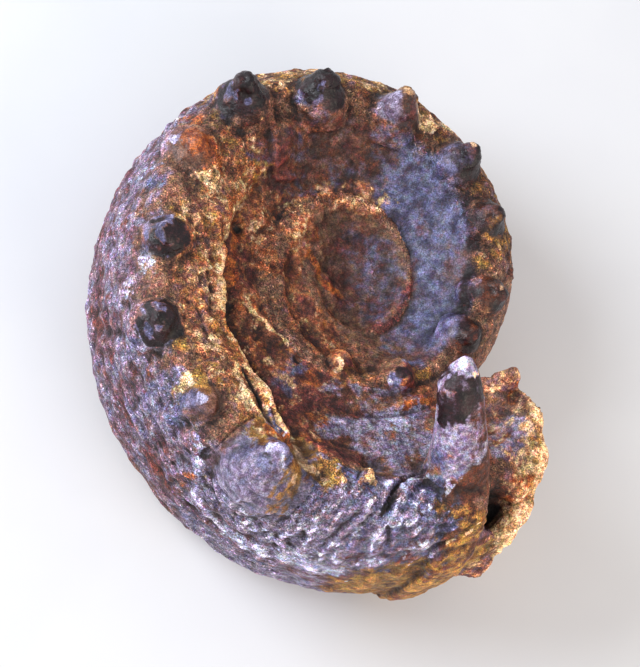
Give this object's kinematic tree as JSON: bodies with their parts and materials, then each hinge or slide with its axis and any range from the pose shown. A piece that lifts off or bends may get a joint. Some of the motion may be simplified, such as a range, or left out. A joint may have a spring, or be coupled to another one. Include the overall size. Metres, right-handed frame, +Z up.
{
  "type": "ammonite fossil",
  "caption": "Loose fossil of a coiled, spiny ammonite, lying on its side: a thick outer whorl round a deep bowl, with blunt tubercles, a big cone and a finger-like spine near the broken end.",
  "frame": {"origin": "centre of the bounding box at the surface that the fossil rests on", "axes": "+Z up from that surface, +Y along the longest side, from the thick last whorl towards the thin early one"},
  "size_m": [0.1072, 0.1322, 0.0842],
  "materials": {
    "fossil_stone": "weathered stone with patches of red-brown, slate blue, ochre crust and cream, satin to dull, glossier on the spines"
  },
  "bodies": {
    "root": {"ammonite": "fossil_stone"}
  },
  "joints": []
}
